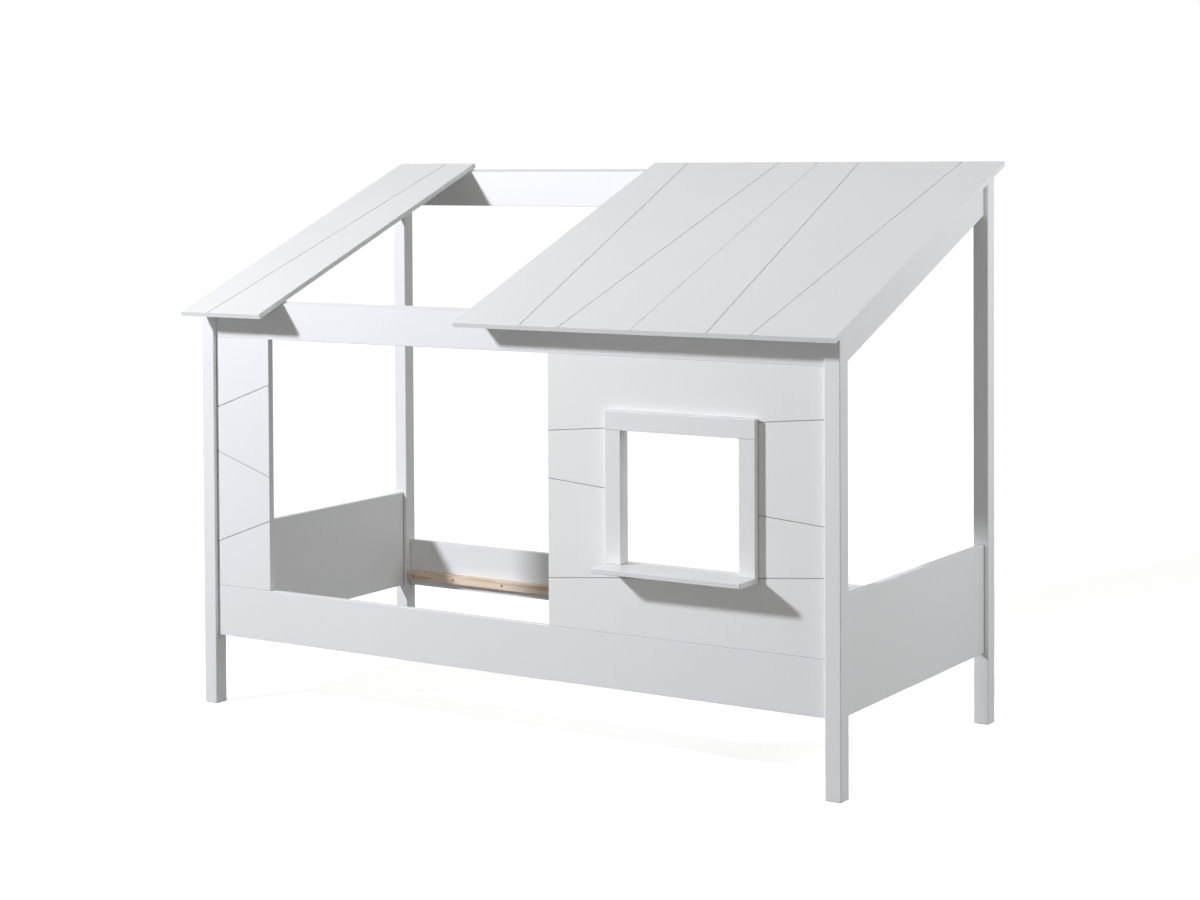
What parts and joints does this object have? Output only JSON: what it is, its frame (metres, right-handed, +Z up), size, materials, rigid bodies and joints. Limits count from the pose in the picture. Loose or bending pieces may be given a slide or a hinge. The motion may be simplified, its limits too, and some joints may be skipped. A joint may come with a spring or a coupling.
{
  "type": "house frame bed",
  "caption": "House-shaped single bed frame for a child: square posts, low side rails, a lean-to roof in separate parts and a front wall with a doorway and a cased window.",
  "frame": {"origin": "on the floor, under the middle of the bed's bounding box", "axes": "+X along the bed's length, from the end with the narrow wall panel to the end with the window; +Y from the front wall to the back, the side where the roof is highest; +Z up"},
  "size_m": [2.112, 1.0649, 1.5801],
  "materials": {
    "white_lacquer": "satin white lacquer",
    "pine": "planed, unfinished",
    "beech": "unfinished",
    "zinc_casting": "matt cast zinc",
    "plated_steel": "bright zinc plate"
  },
  "bodies": {
    "root": {"post_front_left": "white_lacquer", "post_front_right": "white_lacquer", "post_rear_left": "white_lacquer", "post_rear_right": "white_lacquer", "side_rail_front": "white_lacquer", "side_rail_rear": "white_lacquer", "headboard": "white_lacquer", "footboard": "white_lacquer", "eave_beam": "white_lacquer", "ridge_beam": "white_lacquer", "rafter_left": "white_lacquer", "rafter_right": "white_lacquer", "wall_panel_narrow": "white_lacquer", "wall_panel_window": "white_lacquer", "window_jamb_left": "white_lacquer", "window_jamb_right": "white_lacquer", "window_head_casing": "white_lacquer", "window_sill": "white_lacquer", "roof_panel_narrow": "white_lacquer", "roof_panel_wide_left": "white_lacquer", "roof_panel_wide_right": "white_lacquer", "slat_batten_front": "pine", "slat_batten_rear": "pine", "rail_dowels": "beech", "end_board_dowels": "beech", "beam_dowels": "beech", "rafter_dowels": "beech", "wall_dowels": "beech", "roof_joint_dowels": "beech", "rail_cams": "zinc_casting", "end_board_cams": "zinc_casting", "beam_cams": "zinc_casting", "rafter_cams": "zinc_casting", "wall_cams": "zinc_casting", "rail_cam_bolts": "plated_steel", "end_board_cam_bolts": "plated_steel", "beam_cam_bolts": "plated_steel", "rafter_cam_bolts": "plated_steel", "wall_cam_bolts": "plated_steel", "batten_screws_front": "plated_steel", "batten_screws_rear": "plated_steel", "casing_screws": "plated_steel", "sill_screws": "plated_steel", "roof_brackets": "plated_steel", "bracket_screws": "plated_steel"}
  },
  "joints": []
}
